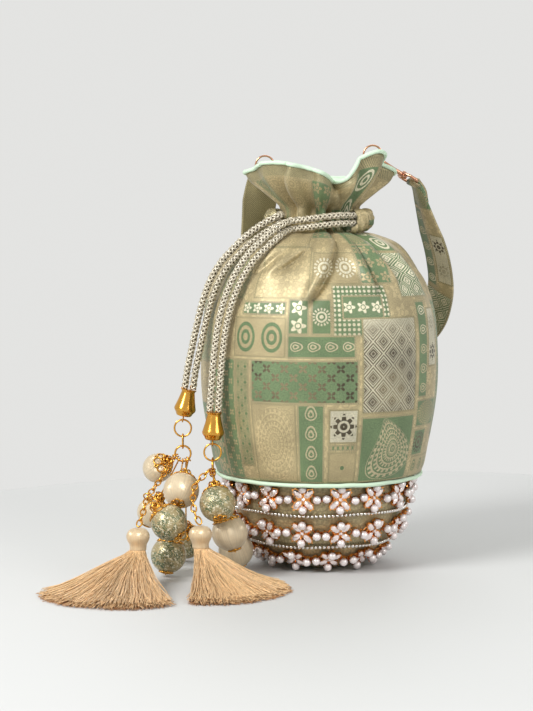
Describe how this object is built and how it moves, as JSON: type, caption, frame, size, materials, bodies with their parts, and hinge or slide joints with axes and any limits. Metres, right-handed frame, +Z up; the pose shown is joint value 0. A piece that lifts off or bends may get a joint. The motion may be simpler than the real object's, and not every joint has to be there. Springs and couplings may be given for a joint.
{
  "type": "potli bag",
  "caption": "Drawstring potli bag of green and gold brocade on a round pearl-beaded base, with bead and tassel drawstring ends and a strap on snap hooks.",
  "frame": {"origin": "centre of the flat spot under the base", "axes": "+Z up along the bag's axis, -Y towards the front, -X towards the hanging drawstring ends"},
  "size_m": [0.2258, 0.2224, 0.2306],
  "materials": {
    "brocade": "woven brocade with a satin sheen",
    "mint_satin": "smooth satin",
    "gold": "polished gold plating",
    "rose_gold": "polished rose gold plating",
    "silver": "bright",
    "metallic_braid": "metallic thread braid",
    "cream_silk": "wound silk thread",
    "champagne_silk": "loose silk thread",
    "pearl_lace": "pearls in gilded lace"
  },
  "bodies": {
    "bag": {"bag_body": "brocade", "bag_lining": "mint_satin", "rim_piping": "mint_satin", "seam_piping": "mint_satin", "base_bowl": "brocade", "pearl_band_1": "pearl_lace", "pearl_band_2": "pearl_lace", "pearl_band_3": "pearl_lace", "ball_chain_1": "silver", "ball_chain_2": "silver", "drawstring_casing": "brocade", "drawstring_1": "metallic_braid", "drawstring_2": "metallic_braid", "cord_left_1": "metallic_braid", "cord_left_2": "metallic_braid", "cord_right_1": "metallic_braid", "cord_right_2": "metallic_braid", "end_cap_left": "gold", "end_cap_right": "gold", "cap_ring_left": "gold", "oval_link": "gold", "hub_ring_left": "gold", "cap_ring_right": "gold", "hub_ring_right": "gold", "bead_pin_1": "gold", "bead_pin_2": "gold", "bead_pin_3": "gold", "bead_pin_4": "gold", "bead_pin_5": "gold", "bead_pin_6": "gold", "bead_pin_7": "gold", "bead_pin_8": "gold", "bead_pin_9": "gold", "tassel_chain_left": "gold", "tassel_chain_right": "gold", "tassel_head_left": "champagne_silk", "tassel_skirt_left": "champagne_silk", "tassel_head_right": "champagne_silk", "tassel_skirt_right": "champagne_silk", "ring_tab_left": "mint_satin", "hook_loop_left": "rose_gold", "ring_tab_right": "mint_satin", "hook_loop_right": "rose_gold", "strap": "brocade"},
    "bead_1_body": {"bead_1": "cream_silk"},
    "bead_2_body": {"bead_2": "cream_silk"},
    "bead_3_body": {"bead_3": "brocade"},
    "bead_4_body": {"bead_4": "brocade"},
    "bead_5_body": {"bead_5": "cream_silk"},
    "bead_6_body": {"bead_6": "brocade"},
    "bead_7_body": {"bead_7": "cream_silk"},
    "bead_8_body": {"bead_8": "brocade"},
    "bead_9_body": {"bead_9": "cream_silk"},
    "ring_left": {"rim_ring_left": "rose_gold"},
    "claw_left": {"hook_claw_left": "rose_gold"},
    "gate_left": {"hook_gate_left": "rose_gold"},
    "ring_right": {"rim_ring_right": "rose_gold"},
    "claw_right": {"hook_claw_right": "rose_gold"},
    "gate_right": {"hook_gate_right": "rose_gold"}
  },
  "joints": [
    {"name": "bead_1_spin", "type": "hinge", "parent": "bag", "child": "bead_1_body", "pos_m": [-0.0885, -0.018, 0.0549], "axis": [0.5712, -0.6614, 0.4861], "continuous": true},
    {"name": "bead_2_spin", "type": "hinge", "parent": "bag", "child": "bead_2_body", "pos_m": [-0.0742, -0.046, 0.0469], "axis": [0.147, 0.7299, 0.6675], "continuous": true},
    {"name": "bead_3_spin", "type": "hinge", "parent": "bag", "child": "bead_3_body", "pos_m": [-0.08, -0.06, 0.032], "axis": [-0.6343, 0.2832, 0.7193], "continuous": true},
    {"name": "bead_4_spin", "type": "hinge", "parent": "bag", "child": "bead_4_body", "pos_m": [-0.0813, -0.042, 0.0115], "axis": [0.1411, 0.2366, 0.9613], "continuous": true},
    {"name": "bead_5_spin", "type": "hinge", "parent": "bag", "child": "bead_5_body", "pos_m": [-0.0485, -0.05, 0.0248], "axis": [-0.281, 0.1364, 0.95], "continuous": true},
    {"name": "bead_6_spin", "type": "hinge", "parent": "bag", "child": "bead_6_body", "pos_m": [-0.0546, -0.06, 0.0419], "axis": [-0.155, 0.6308, 0.7603], "continuous": true},
    {"name": "bead_7_spin", "type": "hinge", "parent": "bag", "child": "bead_7_body", "pos_m": [-0.0911, -0.025, 0.0319], "axis": [0.4512, -0.1517, 0.8794], "continuous": true},
    {"name": "bead_8_spin", "type": "hinge", "parent": "bag", "child": "bead_8_body", "pos_m": [-0.0738, -0.001, 0.0115], "axis": [0.0241, -0.5087, 0.8606], "continuous": true},
    {"name": "bead_9_spin", "type": "hinge", "parent": "bag", "child": "bead_9_body", "pos_m": [-0.0456, -0.0271, 0.0115], "axis": [-0.2459, -0.3238, 0.9136], "continuous": true},
    {"name": "ring_left_tilt", "type": "hinge", "parent": "bag", "child": "ring_left", "pos_m": [-0.03, 0, 0.2145], "axis": [1, 0, 0], "range_deg": [-15, 0]},
    {"name": "hook_left_swivel", "type": "hinge", "parent": "bag", "child": "claw_left", "pos_m": [-0.02666, 0.01572, 0.22005], "axis": [-0.1005, 0.9947, -0.0201], "range_deg": [-25, 25]},
    {"name": "gate_left_press", "type": "hinge", "parent": "claw_left", "child": "gate_left", "pos_m": [-0.02821, 0.01013, 0.21979], "axis": [-0.1739, 0.0023, 0.9848], "range_deg": [0, 22], "stiffness_Nm_per_rad": 0.002},
    {"name": "ring_right_tilt", "type": "hinge", "parent": "bag", "child": "ring_right", "pos_m": [0.029, 0, 0.2202], "axis": [1, 0, 0], "range_deg": [-15, 15]},
    {"name": "hook_right_swivel", "type": "hinge", "parent": "bag", "child": "claw_right", "pos_m": [0.04582, 0.00493, 0.21438], "axis": [0.8056, 0.3122, -0.5035], "range_deg": [-25, 25]},
    {"name": "gate_right_press", "type": "hinge", "parent": "claw_right", "child": "gate_right", "pos_m": [0.04093, 0.00528, 0.21748], "axis": [0.5343, -0.0155, 0.8452], "range_deg": [0, 22], "stiffness_Nm_per_rad": 0.002}
  ]
}
